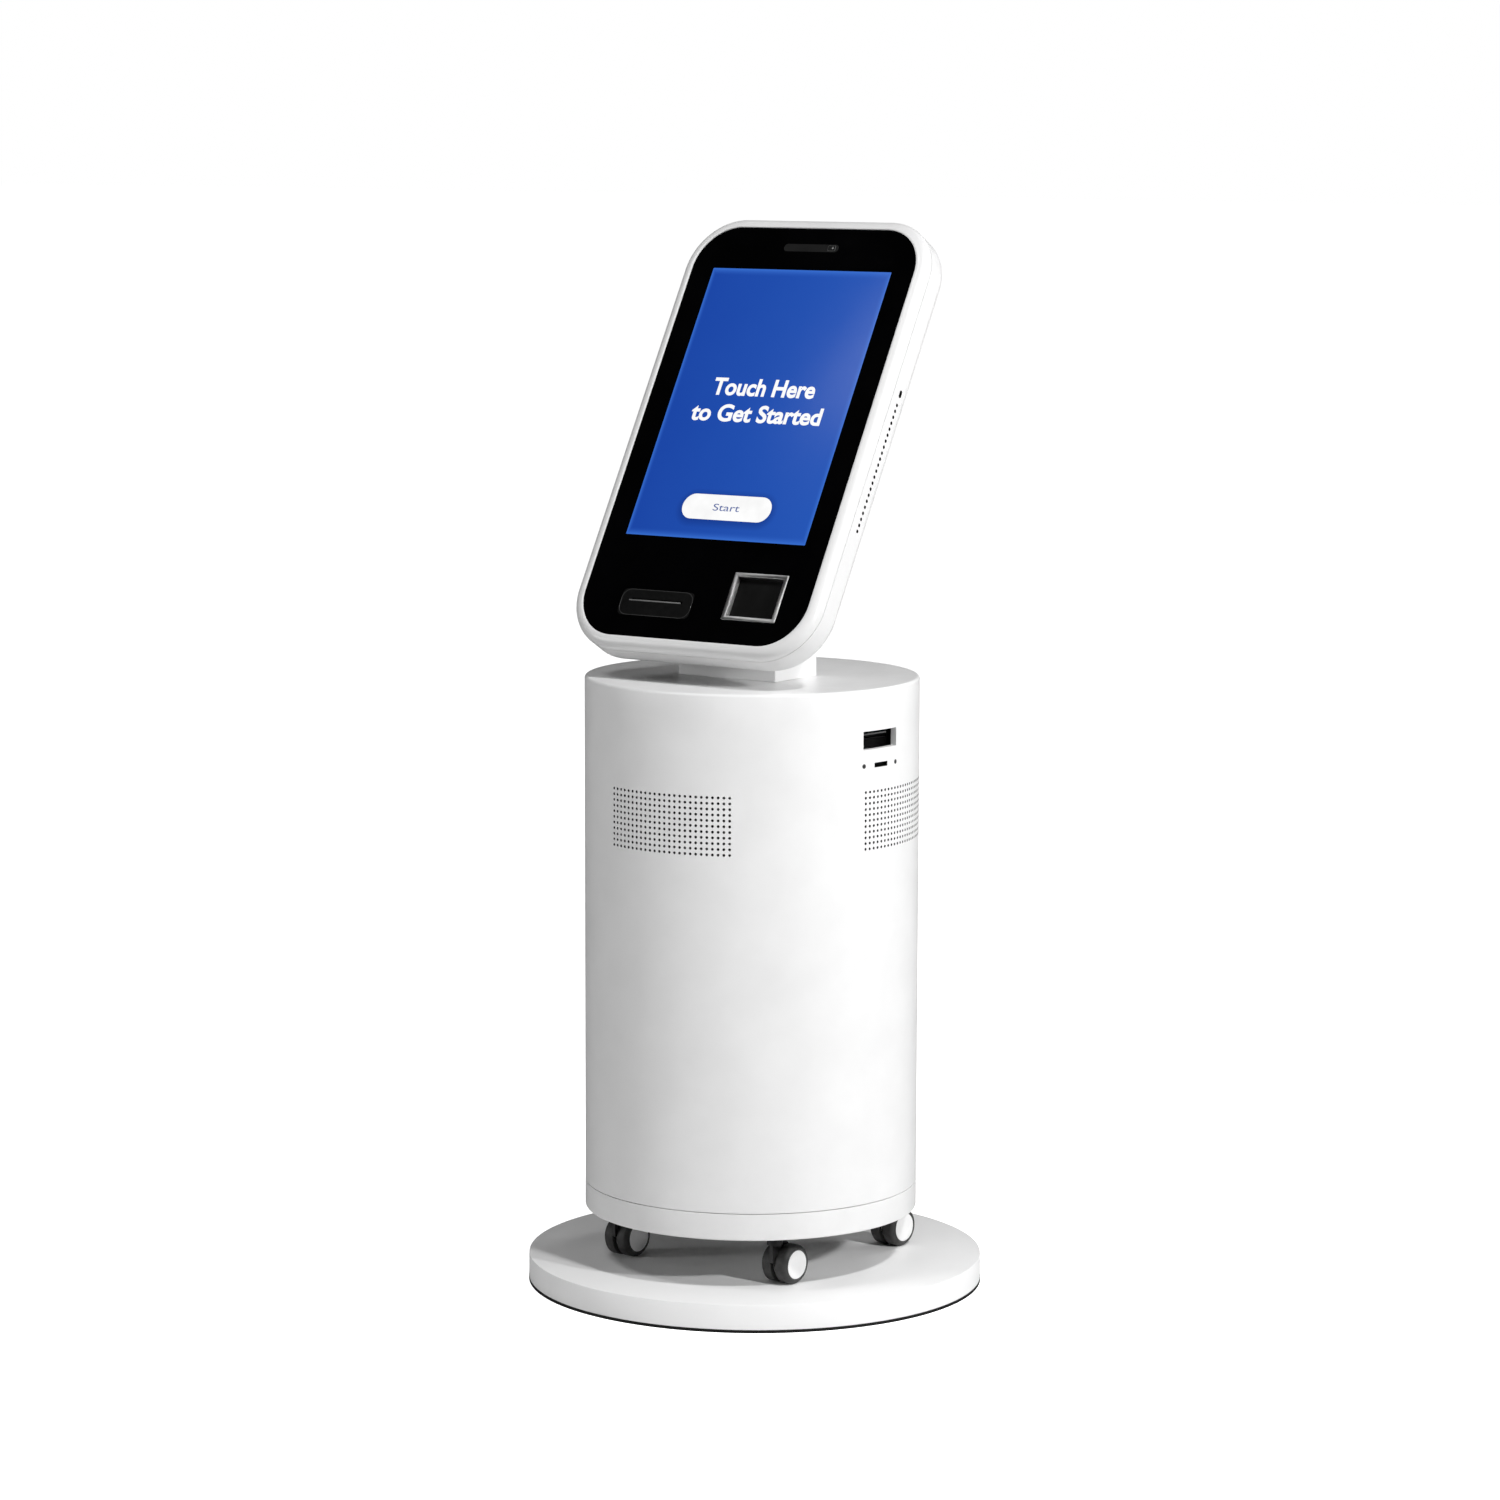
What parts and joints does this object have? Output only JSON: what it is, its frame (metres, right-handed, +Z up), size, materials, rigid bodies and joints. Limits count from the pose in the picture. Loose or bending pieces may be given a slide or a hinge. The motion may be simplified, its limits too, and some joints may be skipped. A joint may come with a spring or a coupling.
{
  "type": "touchscreen kiosk",
  "caption": "Round white cabinet on twin-wheel casters with a turning neck and a tilted portrait touchscreen head with card slot, scanner window and side receipt outlet.",
  "frame": {"origin": "on the floor, on the axis of the round cabinet", "axes": "+Z up, -Y the way the screen faces, +X to the right of a visitor who looks at the screen"},
  "size_m": [0.38, 0.38, 1.179],
  "materials": {
    "white_shell": "satin white powder coat",
    "white_head": "satin white moulding",
    "black_glass": "black-backed cover glass",
    "screen_panel": "lit display",
    "grey_steel": "zinc-plated and painted steel",
    "black_plastic": "moulded black",
    "dark_screws": "blackened",
    "dark_equipment": "dark housing",
    "chrome_lock": "polished",
    "gloss_rocker": "gloss",
    "paper": "paper",
    "aluminium_turned": "turned",
    "circuit_board": "board",
    "sensor_glass": "smoked window",
    "scanner_metal": "brushed",
    "tyre": "dark tread",
    "white_hub": "white cap"
  },
  "bodies": {
    "cabinet": {"skirt_ring": "white_shell", "base_plate": "grey_steel", "caster_sockets": "grey_steel", "frame_posts": "grey_steel", "shelves": "grey_steel", "top_stiffener": "grey_steel", "cabinet_shell": "white_shell", "vent_panels": "white_shell", "receipt_outlet": "black_plastic", "data_port": "black_plastic", "port_screws": "dark_screws", "door_hinges": "white_shell", "power_inlet": "black_plastic", "computer": "dark_equipment", "power_supply": "dark_equipment", "fan_frame": "black_plastic", "receipt_printer": "dark_equipment"},
    "service_door": {"service_door": "white_shell"},
    "door_lock": {"lock_plug": "chrome_lock", "lock_cam": "grey_steel"},
    "power_rocker": {"power_rocker": "gloss_rocker"},
    "fan_rotor": {"fan_rotor": "black_plastic"},
    "paper_roll": {"paper_roll": "paper"},
    "head": {"neck_post": "white_shell", "neck_spigot": "aluminium_turned", "retaining_collar": "grey_steel", "rear_shell": "white_head", "front_rim": "white_head", "cover_glass": "black_glass", "display_panel": "screen_panel", "head_chassis": "grey_steel", "driver_board": "circuit_board", "sensor_window": "sensor_glass", "camera_module": "circuit_board", "card_mouth": "black_plastic", "card_reader": "dark_equipment", "scanner_frame": "scanner_metal", "scanner_window": "sensor_glass", "scanner_module": "dark_equipment", "speaker": "dark_equipment"},
    "front_left_caster": {"front_left_caster_housing": "black_plastic"},
    "front_left_inner_wheel": {"front_left_inner_tyre": "tyre", "front_left_inner_hub": "white_hub"},
    "front_left_outer_wheel": {"front_left_outer_tyre": "tyre", "front_left_outer_hub": "white_hub"},
    "front_right_caster": {"front_right_caster_housing": "black_plastic"},
    "front_right_inner_wheel": {"front_right_inner_tyre": "tyre", "front_right_inner_hub": "white_hub"},
    "front_right_outer_wheel": {"front_right_outer_tyre": "tyre", "front_right_outer_hub": "white_hub"},
    "rear_left_caster": {"rear_left_caster_housing": "black_plastic"},
    "rear_left_inner_wheel": {"rear_left_inner_tyre": "tyre", "rear_left_inner_hub": "white_hub"},
    "rear_left_outer_wheel": {"rear_left_outer_tyre": "tyre", "rear_left_outer_hub": "white_hub"},
    "rear_right_caster": {"rear_right_caster_housing": "black_plastic"},
    "rear_right_inner_wheel": {"rear_right_inner_tyre": "tyre", "rear_right_inner_hub": "white_hub"},
    "rear_right_outer_wheel": {"rear_right_outer_tyre": "tyre", "rear_right_outer_hub": "white_hub"}
  },
  "joints": [
    {"name": "head_swivel", "type": "hinge", "parent": "cabinet", "child": "head", "pos_m": [0, 0, 0.671], "axis": [0, 0, 1], "range_deg": [-45, 45]},
    {"name": "door_hinge", "type": "hinge", "parent": "cabinet", "child": "service_door", "pos_m": [-0.12301, 0.14976, 0.375], "axis": [0, 0, 1], "range_deg": [0, 110]},
    {"name": "lock_turn", "type": "hinge", "parent": "service_door", "child": "door_lock", "pos_m": [0.07302, 0.17541, 0.38], "axis": [0.3843, 0.9232, 0], "range_deg": [0, 90]},
    {"name": "power_rocker_tilt", "type": "hinge", "parent": "cabinet", "child": "power_rocker", "pos_m": [-0.02795, 0.18074, 0.12], "axis": [0.9971, 0.0767, 0], "range_deg": [0, 22]},
    {"name": "fan_spin", "type": "hinge", "parent": "cabinet", "child": "fan_rotor", "pos_m": [0.01017, -0.13211, 0.5244], "axis": [0.0767, -0.9971, 0], "continuous": true},
    {"name": "roll_spin", "type": "hinge", "parent": "cabinet", "child": "paper_roll", "pos_m": [0.11208, -0.01178, 0.5204], "axis": [0.1045, 0.9945, 0], "continuous": true},
    {"name": "front_left_caster_swivel", "type": "hinge", "parent": "cabinet", "child": "front_left_caster", "pos_m": [-0.11, -0.11, 0.05], "axis": [0, 0, 1], "continuous": true},
    {"name": "front_left_inner_wheel_spin", "type": "hinge", "parent": "front_left_caster", "child": "front_left_inner_wheel", "pos_m": [-0.10859, -0.09205, 0.0225], "axis": [0.9969, -0.0785, 0], "continuous": true},
    {"name": "front_left_outer_wheel_spin", "type": "hinge", "parent": "front_left_caster", "child": "front_left_outer_wheel", "pos_m": [-0.10859, -0.09205, 0.0225], "axis": [0.9969, -0.0785, 0], "continuous": true},
    {"name": "front_right_caster_swivel", "type": "hinge", "parent": "cabinet", "child": "front_right_caster", "pos_m": [0.11, -0.11, 0.05], "axis": [0, 0, 1], "continuous": true},
    {"name": "front_right_inner_wheel_spin", "type": "hinge", "parent": "front_right_caster", "child": "front_right_inner_wheel", "pos_m": [0.11141, -0.09205, 0.0225], "axis": [0.9969, -0.0785, 0], "continuous": true},
    {"name": "front_right_outer_wheel_spin", "type": "hinge", "parent": "front_right_caster", "child": "front_right_outer_wheel", "pos_m": [0.11141, -0.09205, 0.0225], "axis": [0.9969, -0.0785, 0], "continuous": true},
    {"name": "rear_left_caster_swivel", "type": "hinge", "parent": "cabinet", "child": "rear_left_caster", "pos_m": [-0.11, 0.11, 0.05], "axis": [0, 0, 1], "continuous": true},
    {"name": "rear_left_inner_wheel_spin", "type": "hinge", "parent": "rear_left_caster", "child": "rear_left_inner_wheel", "pos_m": [-0.10859, 0.12795, 0.0225], "axis": [0.9969, -0.0785, 0], "continuous": true},
    {"name": "rear_left_outer_wheel_spin", "type": "hinge", "parent": "rear_left_caster", "child": "rear_left_outer_wheel", "pos_m": [-0.10859, 0.12795, 0.0225], "axis": [0.9969, -0.0785, 0], "continuous": true},
    {"name": "rear_right_caster_swivel", "type": "hinge", "parent": "cabinet", "child": "rear_right_caster", "pos_m": [0.11, 0.11, 0.05], "axis": [0, 0, 1], "continuous": true},
    {"name": "rear_right_inner_wheel_spin", "type": "hinge", "parent": "rear_right_caster", "child": "rear_right_inner_wheel", "pos_m": [0.11141, 0.12795, 0.0225], "axis": [0.9969, -0.0785, 0], "continuous": true},
    {"name": "rear_right_outer_wheel_spin", "type": "hinge", "parent": "rear_right_caster", "child": "rear_right_outer_wheel", "pos_m": [0.11141, 0.12795, 0.0225], "axis": [0.9969, -0.0785, 0], "continuous": true}
  ]
}
